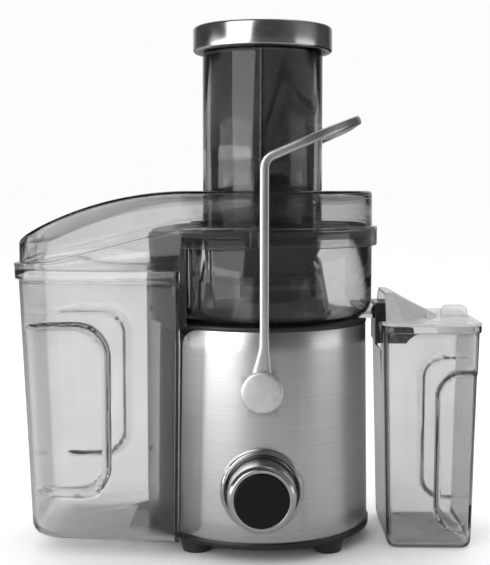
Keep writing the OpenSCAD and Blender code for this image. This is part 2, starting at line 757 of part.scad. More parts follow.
module locking_arm() color("#a9acb0") difference() {
    union() {
        front_and_rear() {
            y_prism(-arm_out, -arm_in) arm_leg_2d();
            y_rod(2.6, -arm_in - 1, -arm_in + 3.6, arm_x, ledge_z + 5.2);
        }
        arm_loop();
    }
    y_rod(pin_r + run, -100, 100, 0, pivot_z);
}

module arm_caps() color("#c2c4c6") front_and_rear() {
    y_rod(cap_r, -arm_out - 2.6, -arm_out - 0.02, 0, pivot_z);
    y_rod(cap_r - 1.2, -arm_out - cap_t, -arm_out - 2, 0, pivot_z);
}

module arm_pins() color("#9b9ea2") {
    y_rod(pin_r, -arm_out, -66, 0, pivot_z);
    y_rod(pin_r, 70, arm_out, 0, pivot_z);
    y_rod(6, 70, 73.8, 0, pivot_z);
}

// ---------------------------------------------------------------- control knob

module control_knob() color("#c6c8cb") translate([0, -knob_y, knob_z]) rotate([90, 0, 0]) difference() {
    rotate_extrude() polygon([[0, 0.1], [24.5, 0.1], [24.5, 3], [23.6, knob_h - 3], [21.4, knob_h - 0.6],
                              [0, knob_h - 0.6]]);
    difference() {
        translate([0, 0, -1]) cylinder(r = 21, h = knob_h - 4);
        translate([0, 0, -2]) cylinder(r = 6, h = 40);
    }
    translate([0, 0, -1]) cylinder(r = 3 + run, h = 16);
    translate([0, 0, knob_h - 2]) cylinder(r = 19, h = 4);
}

module knob_face() color("#080808") translate([0, -knob_y, knob_z]) rotate([90, 0, 0])
    rotate_extrude() polygon(concat([[0, knob_h - 1.95], [18.8, knob_h - 1.95]],
                                    arc([17.6, knob_h - 1.2], 1.2, 0, 90, 3), [[0, knob_h]]));

module knob_spindle() color("#9b9ea2") y_rod(3, -knob_y - 14.5, -63, 0, knob_z);

// ---------------------------------------------------------------- pulp container

bin_z = 11;
bin_reach = 85.4;
tip_x = -57;
grip_x = -108;
grip_y = 57;
module bin_slice(o, t, z, x_end) translate([0, 0, z]) linear_extrude(0.02) polygon(bin_outline(o, t, x_end));

// Hand grip pressed into the front and the rear wall
module bin_grip(grow) front_and_rear() y_prism(-100, -grip_y + grow)
    polygon(round_rect(-260, 42 - grow, grip_x + grow, 169 + grow, 24 + grow, 8));

module pulp_container() color("#a3a3a3") difference() {
    union() {
        hull() {
            bin_slice(1.2, 0, bin_top - 0.02, tip_x);
            bin_slice(0.6, 0.97, bin_z + 7, tip_x - 2.5);
            bin_slice(-2, 1, bin_z + 2, tip_x - 2.6);
            bin_slice(-6, 1, bin_z, tip_x - 5);
        }
        translate([0, 0, bin_top - 7]) linear_extrude(7) polygon(bin_outline(skirt_out, 0, tip_x));
    }
    bin_grip(0);
    difference() {
        hull() {
            bin_slice(1.2 - thin_wall, 0, bin_top, tip_x - thin_wall);
            bin_slice(0.6 - thin_wall, 0.97, bin_z + 8, tip_x - 2.5 - thin_wall);
            bin_slice(-3 - thin_wall, 1, bin_z + thin_wall, tip_x - 5 - thin_wall);
        }
        bin_grip(thin_wall);
        cylinder(r = bin_reach + thin_wall, h = 300);
    }
    translate([0, 0, -1]) cylinder(r = bin_reach, h = 300);
}

// ---------------------------------------------------------------- jug

jug_floor_left = 92;
jug_floor_right = jug_right - 3.5;
jug_floor_half = 47;
jug_corner = 9;
jug_grip_x = 126;
jug_grip_y = 40;

module jug_slice(inset, z, x0, x1, half) translate([0, 0, z]) linear_extrude(0.02)
    polygon(round_rect(x0 + inset, -half + inset, x1 - inset, half - inset, max(jug_corner - inset, 2), 6));

module jug_block(inset, z_floor, z_rim) hull() {
    jug_slice(inset, z_rim - 0.02, jug_left, jug_right, jug_half);
    jug_slice(inset, z_floor + 6, jug_floor_left, jug_floor_right + 0.4, jug_floor_half);
    jug_slice(inset + 1.4, z_floor + 1.6, jug_floor_left, jug_floor_right, jug_floor_half);
    jug_slice(inset + 4, z_floor, jug_floor_left, jug_floor_right, jug_floor_half);
}

module jug_grip(grow) front_and_rear() y_prism(-90, -jug_grip_y + grow)
    polygon(round_rect(jug_grip_x - grow, 12 - grow, 260, 132 + grow, 20 + grow, 8));

module juice_jug() color("#b0b0b0") difference() {
    union() {
        jug_block(0, 0, jug_top);
        translate([0, 0, jug_top - 5]) linear_extrude(5) polygon(round_rect(
            jug_left - rim_out, -jug_half - rim_out, jug_right + rim_out, jug_half + rim_out,
            jug_corner + rim_out, 6));
    }
    jug_grip(0);
    difference() {
        jug_block(thin_wall, thin_wall, jug_top + 0.1);
        jug_grip(thin_wall);
    }
    translate([jug_left - 10, -22, jug_top - 22]) cube([16, 44, 40]);
}

// Lid with a plate, an inner plug ring and a sloping hood that is open towards the bowl
hood_half = 44;
hood_top = jug_top + 22;
hood_tip = jug_right - 22;
lid_z = jug_top + 0.05;
lid_tab_x = 146;
lid_tab_y = 3;
lid_tab_z = jug_top + 5.5;
module hood_block(inset) hull() {
    translate([jug_left + 2 - 3 * inset, -hood_half + inset, lid_z - inset])
        cube([14, 2 * (hood_half - inset), 1]);
    translate([hood_tip - 1.5 * inset, -0.5, lid_z - inset]) cube([1, 1, 1]);
    translate([jug_left + 3 - 3 * inset, -24 + inset, hood_top - 1 - inset]) cube([5, 48 - 2 * inset, 1]);
}

module jug_lid() color("#d5d5d5") {
    difference() {
        union() {
            translate([0, 0, lid_z]) linear_extrude(2.2) polygon(round_rect(
                jug_left - rim_out, -jug_half - rim_out, jug_right + rim_out, jug_half + rim_out,
                jug_corner + rim_out, 6));
            hood_block(0);
            lid_plug();
        }
        hood_block(1.8);
        translate([jug_left - 10, -20.5, lid_z - 10]) cube([45, 41, 14]);
    }
    y_prism(-lid_tab_y, lid_tab_y) polygon(concat(
        arc([lid_tab_x - 5, lid_tab_z], 5, 180, 90, 5), arc([lid_tab_x + 5, lid_tab_z], 5, 90, 0, 5),
        [[lid_tab_x + 10, lid_z + 1], [lid_tab_x - 10, lid_z + 1]]
    ));
}

module lid_plug() intersection() {
    translate([0, 0, lid_z - 5]) linear_extrude(5.5) difference() {
        polygon(round_rect(jug_left + 2.7, -jug_half + 2.7, jug_right - 3, jug_half - 2.7, 6.2, 6));
        polygon(round_rect(jug_left + 4.4, -jug_half + 4.4, jug_right - 4.7, jug_half - 4.4, 4.6, 6));
    }
    translate([jug_grip_x, -100, 0]) cube([100, 200, 300]);
}

// ---------------------------------------------------------------- the object

at_axis() bottom_cover();
at_axis() base_housing();
at_axis() steel_wrap();
at_axis() motor_deck();
at_axis() rubber_feet();
at_axis() cover_screws();
at_axis() dial_bezel();
at_axis() rotary_switch();
at_axis() upper_bracket();
at_axis() lower_bracket();
at_axis() stator_core();
at_axis() field_coils();
at_axis() brush_holders();
at_axis() carbon_brushes();
at_axis() upper_bearing();
at_axis() lower_bearing();
at_axis() motor_mounts();
at_axis() bracket_screws();
at_axis() shaft_seal();
at_axis() control_board();
at_axis() microswitch();
at_axis() plunger_guide();
at_axis() cord_gland();
at_axis() pivot_bushes();
at_axis() juice_bowl();
at_axis() bowl_collar();
at_axis() outlet_tube();
at_axis() juice_spout();
at_axis() pulp_deck();
at_axis() pulp_shield();
at_axis() top_cover();
at_axis() feed_chute();
at_axis() cover_gasket();
at_axis() rotor_shaft();
at_axis() armature_core();
at_axis() armature_windings();
at_axis() commutator();
at_axis() cooling_fan();
at_axis() drive_coupling();
at_axis() basket_hub();
at_axis() grater_disc();
at_axis() filter_cone();
at_axis() basket_rim();
at_axis() pusher_body();
at_axis() pusher_cap();
at_axis() locking_arm();
at_axis() arm_caps();
at_axis() arm_pins();
at_axis() interlock_cam();
at_axis() interlock_plunger();
at_axis() interlock_spring();
at_axis() control_knob();
at_axis() knob_face();
at_axis() knob_spindle();
at_axis() pulp_container();
at_axis() juice_jug();
at_axis() jug_lid();
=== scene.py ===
"""Looks for the centrifugal juicer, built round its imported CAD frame. Metres, +Z up, knob towards -Y."""
import json
import math

import bmesh
import bpy
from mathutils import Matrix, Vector


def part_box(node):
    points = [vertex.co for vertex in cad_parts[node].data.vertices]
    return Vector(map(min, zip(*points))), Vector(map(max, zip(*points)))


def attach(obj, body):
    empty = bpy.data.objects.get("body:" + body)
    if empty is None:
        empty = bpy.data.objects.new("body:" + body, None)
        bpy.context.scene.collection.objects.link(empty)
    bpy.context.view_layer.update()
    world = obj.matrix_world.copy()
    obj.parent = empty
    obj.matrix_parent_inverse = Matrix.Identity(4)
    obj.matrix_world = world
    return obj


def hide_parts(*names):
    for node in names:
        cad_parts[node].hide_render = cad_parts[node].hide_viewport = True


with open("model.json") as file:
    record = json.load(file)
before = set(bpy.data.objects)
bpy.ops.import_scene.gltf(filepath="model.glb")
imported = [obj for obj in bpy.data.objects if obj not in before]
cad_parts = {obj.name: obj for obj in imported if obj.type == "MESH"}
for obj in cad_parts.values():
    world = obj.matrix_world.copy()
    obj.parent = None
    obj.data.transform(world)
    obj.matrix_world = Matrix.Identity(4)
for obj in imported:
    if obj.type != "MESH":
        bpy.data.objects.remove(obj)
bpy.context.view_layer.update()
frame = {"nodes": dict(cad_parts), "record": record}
NODES = frame["nodes"]
RECORD = frame["record"]
MM = 0.001


def middle(node):
    low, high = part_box(node)
    return (low + high) / 2


# The motor's axis, which everything round is turned about
AXIS = middle("rotor_shaft")
AXIS.z = 0


# ---------------------------------------------------------------- shader helpers

def add(tree, kind, inputs=None, **settings):
    """A new shader node. Inputs are values, or sockets to link."""
    made = tree.nodes.new("ShaderNode" + kind)
    for key, value in settings.items():
        setattr(made, key, value)
    for key, value in (inputs or {}).items():
        if isinstance(value, bpy.types.NodeSocket):
            tree.links.new(value, made.inputs[key])
        else:
            made.inputs[key].default_value = value
    return made


def grey(value):
    return (value, value, value, 1.0)


def start(name, **principled):
    """A material with its Principled shader, and its object coordinates."""
    made = bpy.data.materials.new(name)
    made.use_nodes = True
    tree = made.node_tree
    tree.nodes.clear()
    output = add(tree, "OutputMaterial")
    shader = add(tree, "BsdfPrincipled", principled)
    tree.links.new(shader.outputs[0], output.inputs["Surface"])
    coords = add(tree, "TexCoord").outputs["Object"]
    return made, tree, shader, coords


def noise(tree, coords, scale, detail=2.0, stretch=None):
    """Noise in metres: scale is waves per metre, stretch is a factor for each axis."""
    if stretch:
        coords = add(tree, "Mapping", {"Vector": coords, "Scale": stretch}).outputs[0]
    return add(tree, "TexNoise", {"Vector": coords, "Scale": scale, "Detail": detail}).outputs["Fac"]


# The values that most of a noise texture lies between
NOISE_RANGE = (0.3, 0.7)


def spread(tree, value, low, high, source=NOISE_RANGE):
    """A number that goes from low to high as value crosses its source range."""
    return add(tree, "MapRange", {"Value": value, "From Min": source[0], "From Max": source[1],
                                  "To Min": low, "To Max": high}).outputs[0]


def tint(tree, value, dark, light, source=NOISE_RANGE):
    """A colour that goes from dark to light as value crosses its source range."""
    ramp = add(tree, "ValToRGB", {"Fac": value})
    for element, place, colour in zip(ramp.color_ramp.elements, source, (dark, light)):
        element.position = place
        element.color = colour
    return ramp.outputs["Color"]


def scaled(colour, factor):
    """The colour made lighter or darker, with its alpha."""
    return tuple(min(1.0, c * factor) for c in colour[:3]) + (1.0,)


def bump(tree, height, strength, distance):
    return add(tree, "Bump", {"Height": height, "Strength": strength, "Distance": distance}).outputs[0]


def link(tree, shader, **sockets):
    """Joins texture outputs to the shader's colour, roughness and normal."""
    names = {"colour": "Base Color", "roughness": "Roughness", "normal": "Normal"}
    for key, socket in sockets.items():
        tree.links.new(socket, shader.inputs[names[key]])


# ---------------------------------------------------------------- materials

def moulded(name, colour, roughness=0.45, grain=0.25, size=1400, specular=0.5):
    """Injection-moulded plastic: a fine spark grain, slow colour drift and handling marks."""
    made, tree, shader, coords = start(name, **{"IOR": 1.5, "Specular IOR Level": specular})
    drift = noise(tree, coords, 35, 3)
    marks = noise(tree, coords, 160, 4)
    link(tree, shader,
         colour=tint(tree, drift, scaled(colour, 0.88), scaled(colour, 1.12)),
         roughness=spread(tree, marks, roughness - 0.06, roughness + 0.08),
         normal=bump(tree, noise(tree, coords, size, 2), grain, 0.00008))
    return made


def brushed(name, colour, roughness, stretch, strength=0.12):
    """Metal with fine lines: stretch is how many noise waves a metre has along each axis."""
    made, tree, shader, coords = start(name, Metallic=1.0)
    fine = noise(tree, coords, 1, 3, stretch)
    smudge = noise(tree, coords, 24, 3)
    link(tree, shader,
         colour=tint(tree, fine, scaled(colour, 0.93), scaled(colour, 1.06)),
         roughness=spread(tree, smudge, roughness - 0.012, roughness + 0.02),
         normal=bump(tree, fine, strength, 0.00002))
    return made


def polished(name, colour, roughness=0.12):
    """Polished metal, with faint smudges and a slight waviness."""
    made, tree, shader, coords = start(name, Metallic=1.0)
    smudge = noise(tree, coords, 70, 5)
    wave = noise(tree, coords, 55, 1)
    link(tree, shader,
         colour=tint(tree, smudge, scaled(colour, 0.93), scaled(colour, 1.03)),
         roughness=spread(tree, smudge, roughness - 0.03, roughness + 0.07),
         normal=bump(tree, wave, 0.08, 0.0004))
    return made


def glossy(name, colour, roughness=0.07, coat=0.0, specular=0.5):
    """Piano-gloss plastic, with hair scratches and a little moulding ripple."""
    made, tree, shader, coords = start(name, **{"IOR": 1.52, "Coat Weight": coat,
                                                "Specular IOR Level": specular})
    ripple = noise(tree, coords, 45, 2)
    scratch = noise(tree, coords, 1, 4, (900, 900, 60))
    link(tree, shader,
         colour=tint(tree, ripple, scaled(colour, 0.85), scaled(colour, 1.2)),
         roughness=spread(tree, scratch, roughness - 0.02, roughness + 0.08),
         normal=bump(tree, ripple, 0.1, 0.0004))
    return made


def clear(name, colour, haze, roughness=0.05, haze_colour=None, ripple=0.12):
    """Clear smoke plastic: tinted walls, a little haze, moulding ripple and wiping marks. Lamps shine through."""
    made, tree, shader, coords = start(name, **{"IOR": 1.5, "Transmission Weight": 1.0})
    output = next(n for n in tree.nodes if n.type == "OUTPUT_MATERIAL")
    wave = noise(tree, coords, 30, 2)
    wiping = noise(tree, coords, 210, 5)
    link(tree, shader,
         colour=tint(tree, wave, scaled(colour, 0.97), scaled(colour, 1.03)),
         roughness=spread(tree, wiping, max(roughness - 0.02, 0.0), roughness + 0.03),
         normal=bump(tree, wave, ripple, 0.0008))
    cloudy = add(tree, "BsdfDiffuse", {"Color": haze_colour or scaled(colour, 0.8)})
    body = add(tree, "MixShader", {0: spread(tree, wiping, haze * 0.95, haze * 1.06),
                                   1: shader.outputs[0], 2: cloudy.outputs[0]})
    lamps = add(tree, "BsdfTransparent", {"Color": scaled(colour, 0.97)})
    path = add(tree, "LightPath")
    whole = add(tree, "MixShader", {0: path.outputs["Is Shadow Ray"],
                                    1: body.outputs[0], 2: lamps.outputs[0]})
    tree.links.new(whole.outputs[0], output.inputs["Surface"])
    return made


def etched(name, colour):
    """Filter sheet with rows of tiny holes."""
    made, tree, shader, coords = start(name, **{"Metallic": 0.15, "Roughness": 0.5, "Specular IOR Level": 0.2})
    holes = add(tree, "TexVoronoi", {"Vector": coords, "Scale": 900.0, "Randomness": 0.15}).outputs["Distance"]
    link(tree, shader,
         colour=tint(tree, holes, scaled(colour, 0.08), scaled(colour, 1.0), (0.28, 0.36)),
         normal=bump(tree, holes, 0.4, 0.0002))
    return made


def wound(name, colour):
    """Enamelled copper wire, side by side."""
    made, tree, shader, coords = start(name, Metallic=0.9, Roughness=0.3)
    wires = add(tree, "TexWave", {"Vector": coords, "Scale": 320.0, "Distortion": 1.5, "Detail": 1.0},
                bands_direction="Z").outputs["Fac"]
    link(tree, shader, colour=tint(tree, wires, scaled(colour, 0.45), scaled(colour, 1.1), (0.1, 0.9)),
         normal=bump(tree, wires, 0.5, 0.0002))
    return made


def laminated(name, colour):
    """A stack of thin steel sheets."""
    made, tree, shader, coords = start(name, Metallic=0.85, Roughness=0.42)
    sheets = add(tree, "TexWave", {"Vector": coords, "Scale": 300.0}, bands_direction="Z").outputs["Fac"]
    link(tree, shader, colour=tint(tree, sheets, scaled(colour, 0.6), scaled(colour, 1.1), (0.1, 0.6)),
         normal=bump(tree, sheets, 0.3, 0.0001))
    return made


def rubbery(name, colour):
    """Dull rubber with a fine grain and some dust."""
    made, tree, shader, coords = start(name, **{"Sheen Weight": 0.15})
    dust = noise(tree, coords, 240, 4)
    link(tree, shader, colour=tint(tree, dust, scaled(colour, 0.8), scaled(colour, 1.5)),
         roughness=spread(tree, dust, 0.65, 0.85),
         normal=bump(tree, noise(tree, coords, 1800, 2), 0.35, 0.0001))
    return made


def brushed_round(name, colour, roughness):
    """Lines round the upright axis: short along Z, long round it."""
    return brushed(name, colour, roughness, (9, 9, 1900))


FINISHES = {
    "brushed_steel": brushed_round("steel_wrap_brushed", (0.68, 0.685, 0.69), 0.3),
    "polished_steel": polished("polished_steel", (0.60, 0.605, 0.61), 0.17),
    "arm_steel": brushed("arm_satin", (0.70, 0.705, 0.71), 0.32, (700, 700, 20), 0.1),
    "filter_mesh": etched("filter_mesh", (0.06, 0.061, 0.062)),
    "black_plastic": moulded("black_plastic", (0.012, 0.012, 0.013), 0.42),
    "dark_smoke": glossy("dark_smoke", (0.014, 0.014, 0.016), 0.16),
    "gloss_black": glossy("gloss_black", (0.003, 0.003, 0.004), 0.05, 0.6, 0.9),
    "smoke_clear": clear("smoke_clear", (0.68, 0.685, 0.69), haze=0.003),
    "jug_clear": clear("jug_clear", (0.745, 0.75, 0.755), haze=0.012),
    "soft_black": rubbery("soft_black", (0.016, 0.016, 0.017)),
    "motor_steel": laminated("motor_laminations", (0.42, 0.43, 0.45)),
    "zinc": brushed("zinc", (0.6, 0.61, 0.62), 0.34, (300, 300, 300), 0.3),
    "copper": wound("copper_wire", (0.66, 0.33, 0.15)),
    "brass": polished("brass", (0.75, 0.6, 0.28), 0.2),
    "carbon": moulded("carbon", (0.05, 0.05, 0.05), 0.6, 0.4),
    "white_plastic": moulded("white_plastic", (0.78, 0.77, 0.73), 0.4, 0.15),
    "electronics": moulded("circuit_board", (0.06, 0.2, 0.09), 0.35, 0.3, 500),
}


def finish_of(node):
    """The node's material slot in the record."""
    return next(part["material_slot"] for part in RECORD["subparts"] if part["node"] == node)


# Nodes whose look differs from the rest of their slot in tint, haze or polish
SPECIAL = {
    "pulp_container": clear("container_clear", (0.755, 0.76, 0.765), haze=0.004),
    "jug_lid": clear("lid_clear", (0.80, 0.805, 0.81), haze=0.26, roughness=0.06,
                     haze_colour=grey(0.9), ripple=0.03),
    "arm_caps": brushed("cap_satin", (0.86, 0.865, 0.87), 0.42, (240, 240, 240), 0.1),
    "knob_face": moulded("knob_black", (0.005, 0.005, 0.0055), 0.35, 0.1, specular=0.2),
}


def material_of(node):
    return SPECIAL.get(node) or FINISHES[finish_of(node)]


def paint(obj, material):
    obj.data.materials.clear()
    obj.data.materials.append(material)


for name, obj in NODES.items():
    paint(obj, material_of(name))
    for face in obj.data.polygons:
        face.use_smooth = True


# ---------------------------------------------------------------- shapes

def span(node):
    """A node's lowest and highest corners in millimetres from the motor's axis."""
    low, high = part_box(node)
    return (low - AXIS) / MM, (high - AXIS) / MM


def body_of(node):
    """The moving body that the record puts the node on."""
    return next(name for name, nodes in RECORD["behaviour"]["bodies"].items() if node in nodes)


def stand_in(name, mesh, node, crease=38):
    """Shades the mesh, and puts it on its body in place of the CAD node."""
    tool = bmesh.new()
    tool.from_mesh(mesh)
    bmesh.ops.recalc_face_normals(tool, faces=tool.faces)
    tool.to_mesh(mesh)
    tool.free()
    for face in mesh.polygons:
        face.use_smooth = True
    mesh.set_sharp_from_angle(angle=math.radians(crease))
    piece = bpy.data.objects.new(name, mesh)
    bpy.context.scene.collection.objects.link(piece)
    paint(piece, material_of(node))
    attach(piece, body_of(node))
    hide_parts(node)
    return piece


def built(name, islands, node, crease=38):
    """A piece from islands of (points in millimetres from the axis, faces)."""
    points, faces = [], []
    for some_points, some_faces in islands:
        first = len(points)
        points += [AXIS + Vector(p) * MM for p in some_points]
        faces += [[first + i for i in face] for face in some_faces]
    mesh = bpy.data.meshes.new(name)
    mesh.from_pydata(points, [], faces)
    return stand_in(name, mesh, node, crease)


# Degrees between faces: less than FLAT is one face, more than HARD is an edge to round
FLAT, HARD = 0.6, 35
WELD = 2e-6


def softened(node, radius, crease):
    """The CAD piece with its hard edges rounded over, as a moulding or a deburred sheet has them."""
    mesh = bpy.data.meshes.new(node + "_soft")
    tool = bmesh.new()
    tool.from_mesh(NODES[node].data)
    bmesh.ops.remove_doubles(tool, verts=tool.verts, dist=WELD)
    bmesh.ops.dissolve_limit(tool, angle_limit=math.radians(FLAT), verts=tool.verts, edges=tool.edges)
    hard = [e for e in tool.edges
            if len(e.link_faces) == 2 and e.calc_face_angle() > math.radians(HARD)]
    bmesh.ops.bevel(tool, geom=hard, offset=radius * MM, offset_type="OFFSET", segments=2, profile=0.5,
                    affect="EDGES", clamp_overlap=False)
    bmesh.ops.triangulate(tool, faces=[f for f in tool.faces if len(f.verts) > 4])
    tool.to_mesh(mesh)
    tool.free()
    return stand_in(node + "_soft", mesh, node, crease)


def loft(rings, capped=True, wrapped=False):
    """Walls between rings of equally many points, with flat ends or joined round into a loop."""
    n, last = len(rings[0]), len(rings) - 1
    points = [p for ring in rings for p in ring]
    pairs = [(k, k + 1) for k in range(last)] + ([(last, 0)] if wrapped else [])
    faces = [(a * n + i, a * n + (i + 1) % n, b * n + (i + 1) % n, b * n + i)
             for a, b in pairs for i in range(n)]
    if capped:
        faces += [tuple(range(n)), tuple(range(last * n, (last + 1) * n))]
    return points, faces


def turned(profile, y_axis=None, steps=96):
    """A closed (radius, height) profile turned about the motor's axis, or about an axis along Y at (x, z)."""
    rings = []
    for r, h in profile:
        ring = []
        for i in range(steps):
            a = 2 * math.pi * i / steps
            u, v = r * math.cos(a), r * math.sin(a)
            ring.append((u, v, h) if y_axis is None else (y_axis[0] + u, h, y_axis[1] + v))
        rings.append(ring)
    return loft(rings, capped=False, wrapped=True)


def smooth_min(a, b, width):
    """The smaller of the two, rounded over where they are less than width apart."""
    h = max(width - abs(a - b), 0) / width
    return min(a, b) - h * h * width / 4


def smooth_step(low, high, value):
    """0 at low and 1 at high, and smooth between."""
    t = min(max((value - low) / (high - low), 0), 1)
    return t * t * (3 - 2 * t)


def evenly(start, end, n):
    """n values from start, with end left off."""
    return [start + (end - start) * i / n for i in range(n)]


def finely(start, end, coarse, fine, zones):
    """Values from start up to end, closer together inside the zones."""
    values, at = [], start
    while at < end - fine / 2:
        values.append(at)
        at += fine if any(a <= at < b for a, b in zones) else coarse
    return values + [end]


def arc_points(cx, cy, r, start, end, n):
    """n steps round an arc, from start to end in degrees."""
    angles = [math.radians(start + (end - start) * i / n) for i in range(n + 1)]
    return [(cx + r * math.cos(a), cy + r * math.sin(a)) for a in angles]


def mirrored(front):
    """A ring from its front half, which starts and ends on the middle plane."""
    return front + [(x, -y) for x, y in front[-2:0:-1]]


# A hand grip pressed into both sides: the edges of its rounded rectangle in the side view, the rectangle's corner
# radius, the width of the grip's sloping edge, the distance from the middle to its bottom, and the rounding there.
# Each grip runs on past the end wall.
BIN_GRIP = {"left": -260, "right": -108, "low": 42, "high": 169, "corner": 24, "slope": 7, "plane": 57, "round": 3.5}
JUG_GRIP = {"left": 126, "right": 260, "low": 12, "high": 132, "corner": 20, "slope": 5, "plane": 40, "round": 3}
# How far out of the way a grip's plane is outside its rectangle
FAR = 40


def pressed_in(x, y, z, grip, grow):
    """y moved in to the grip's plane inside its rectangle. The inner face of a wall grows the grip."""
    left, right = grip["left"] - grow, grip["right"] + grow
    low, high = grip["low"] - grow, grip["high"] + grow
    radius = grip["corner"] + grow
    dx = max(left + radius - x, x - (right - radius), 0)
    dz = max(low + radius - z, z - (high - radius), 0)
    inside = max(left - x, x - right, low - z, z - high)
    distance = math.hypot(dx, dz) - radius if dx > 0 and dz > 0 else inside
    mask = smooth_step(grip["slope"], -grip["slope"], distance)
    return math.copysign(smooth_min(abs(y), grip["plane"] - grow + (1 - mask) * FAR, grip["round"]), y)


# Wall of the container and the jug, and how far apart their rings are on the plain walls and at a grip's edge
THIN = 2.2
COARSE, FINE = 5, 1.1


def wall_rings(low, high, zones):
    return finely(low, high, COARSE, FINE, zones)


# ---------------------------------------------------------------- pulp container and cover

BIN_LOW, BIN_HIGH = span("pulp_container")
BOWL_R = 82.6
# The rounded corner that the container and the cover share, seen from above
CORNER_R = 28.0
SKIRT_OUT = 3.8
CORNER_X = BIN_LOW.x + CORNER_R + SKIRT_OUT
CORNER_Y = -38.5
# Direction of the long side, which touches both the corner's circle and the bowl's
SIDE = math.atan2(CORNER_Y, CORNER_X) + math.acos((BOWL_R - CORNER_R) / math.hypot(CORNER_X, CORNER_Y))
SIDE_N = (math.cos(SIDE), math.sin(SIDE))
SIDE_DEG = math.degrees(SIDE)
# How far the walls come in on the way down, at the end wall and at the sides
TAPER_X, TAPER_Y = 7, 2.5
# Where the points of the long side lie along it: close together at the grip's edge
BIN_SHARES = finely(0, 1, 0.036, 0.0095, [(0.34, 0.54)])[1:]


def bin_ring(o, t, end_x, reach, z, grow):
    """The container's outline moved out by o, at share t of the way down, with its grips pressed in.

    It ends at end_x beside the base, and between the sides it is hollowed to the radius reach."""
    cx, cy, r = CORNER_X + TAPER_X * t, CORNER_Y + TAPER_Y * t, CORNER_R + o
    front = [(cx - r, y) for y in evenly(0, cy, 8)] + arc_points(cx, cy, r, -180, SIDE_DEG, 18)
    px, py = front[-1]
    slope = -SIDE_N[0] / SIDE_N[1]
    edge = 1.2
    for share in BIN_SHARES:
        x = px + (end_x - edge - px) * share
        front.append((x, py + (x - px) * slope))
    tip_y = py + (end_x - px) * slope
    front += [(end_x - 0.35 * edge, tip_y + 0.25 * edge), (end_x, tip_y + edge)]
    meet = math.sqrt(reach ** 2 - end_x ** 2)
    front += [(end_x, y) for y in evenly(tip_y + edge, -meet - edge, 4)[1:]] + [(end_x, -meet - edge)]
    start = math.degrees(math.atan2(-meet, end_x)) - 0.8
    front += arc_points(0, 0, reach, start, -180, 44)
    front[-1] = (-reach, 0.0)
    ring = []
    for x, y in mirrored(front):
        wide = abs(y) > BIN_GRIP["plane"] - grow - 6 and x < end_x - 4
        ring.append((x, pressed_in(x, y, z, BIN_GRIP, grow) if wide else y, z))
    return ring


def container():
    floor, top = BIN_LOW.z, BIN_HIGH.z
    reach, end_x = 85.4, -57.0
    zones = [(34, 72), (138, 178)]
    # Outline against the cover's corner circle at the top, and what the walls lose on the way down
    stand_out, draft, end_draft = 1.2, 0.6, 2.5

    def level(z, o, grow=0.0):
        t = min(0.97 * (top - z) / (top - floor - 7), 1)
        return bin_ring(o + stand_out - draft * t, t, end_x - end_draft * t - grow, reach + grow, z, grow)

    # Height and outline of the floor's edge, the rim, the rim's inner edge and the floor's inner edge
    foot = [(0, -6.5), (0.5, -4.6), (1.7, -2.4), (3.6, -0.9)]
    rim = [(-7.1, 0.3), (-7, 2.1), (-6.6, 2.6), (-0.7, 2.6), (-0.15, 2.3), (0, 1.7)]
    mouth = [(0, 0.7), (-0.15, 0.2), (-0.7, 0)]
    bed = [(3, -1.1), (0.9, -3), (0, -6)]
    rings = [level(floor + h, o) for h, o in foot]
    rings += [level(z, 0) for z in wall_rings(floor + 6.5, top - 7.6, zones)]
    rings += [level(top + h, o) for h, o in rim]
    rings += [level(top + h, -THIN + o, THIN) for h, o in mouth]
    rings += [level(z, -THIN, THIN) for z in reversed(wall_rings(floor + 8, top - 8, zones))]
    rings += [level(floor + THIN + h, -THIN + o, THIN) for h, o in bed]
    built("pulp_container_shell", [loft(rings)], "pulp_container")


CHUTE_R = 45.05
# The top is flat up to CROWN_X, and falls away to the left of it in a curve of radius CROWN_R
COVER_TOP = 262.0
CROWN_X = -50.0
CROWN_R = 241.0
# The ledge round the cover is level beside the bowl, and runs down to the container left of STEP_X
STEP_X = -56.0
LEDGE_Z = 236.0
SKIRT_Z = 222.0
KNEE_Z = BIN_HIGH.z + 6.5


def cover_half(o):
    """Front half of the cover's outline, moved out by o."""
    r = CORNER_R + o
    front = [(CORNER_X - r, y) for y in evenly(0, CORNER_Y, 7)]
    front += arc_points(CORNER_X, CORNER_Y, r, -180, SIDE_DEG, 18)
    px, py = front[-1]
    end_x, end_y = (BOWL_R + o) * SIDE_N[0], (BOWL_R + o) * SIDE_N[1]
    # Close together where the skirt steps up
    shares = finely(0, 1, 0.035, 0.004, [(0.655, 0.685)])
    front += [(px + (end_x - px) * s, py + (end_y - py) * s) for s in shares[1:]]
    front += arc_points(0, 0, BOWL_R + o, SIDE_DEG, 0, 44)[1:]
    front[-1] = (BOWL_R + o, 0.0)
    return front


def crown(x, drop=0.0):
    """Height of the top sheet, or of its inner face, a drop further in."""
    if x > CROWN_X:
        return COVER_TOP - drop
    return COVER_TOP - CROWN_R + math.sqrt((CROWN_R - drop) ** 2 - (x - CROWN_X) ** 2)


def ledge(x):
    """Height of the ledge that runs round the cover."""
    if x > STEP_X:
        return LEDGE_Z
    if x > CORNER_X:
        return LEDGE_Z + (KNEE_Z - LEDGE_Z) * (x - STEP_X) / (CORNER_X - STEP_X)
    return KNEE_Z + 2.5 * (x - CORNER_X) / 36


def skirt_foot(x):
    """Height of the skirt's lower edge, which just clears the container's rim."""
    over_rim = BIN_HIGH.z + 0.4
    return over_rim + (SKIRT_Z - over_rim) * smooth_step(STEP_X - 0.5, STEP_X + 0.5, x)


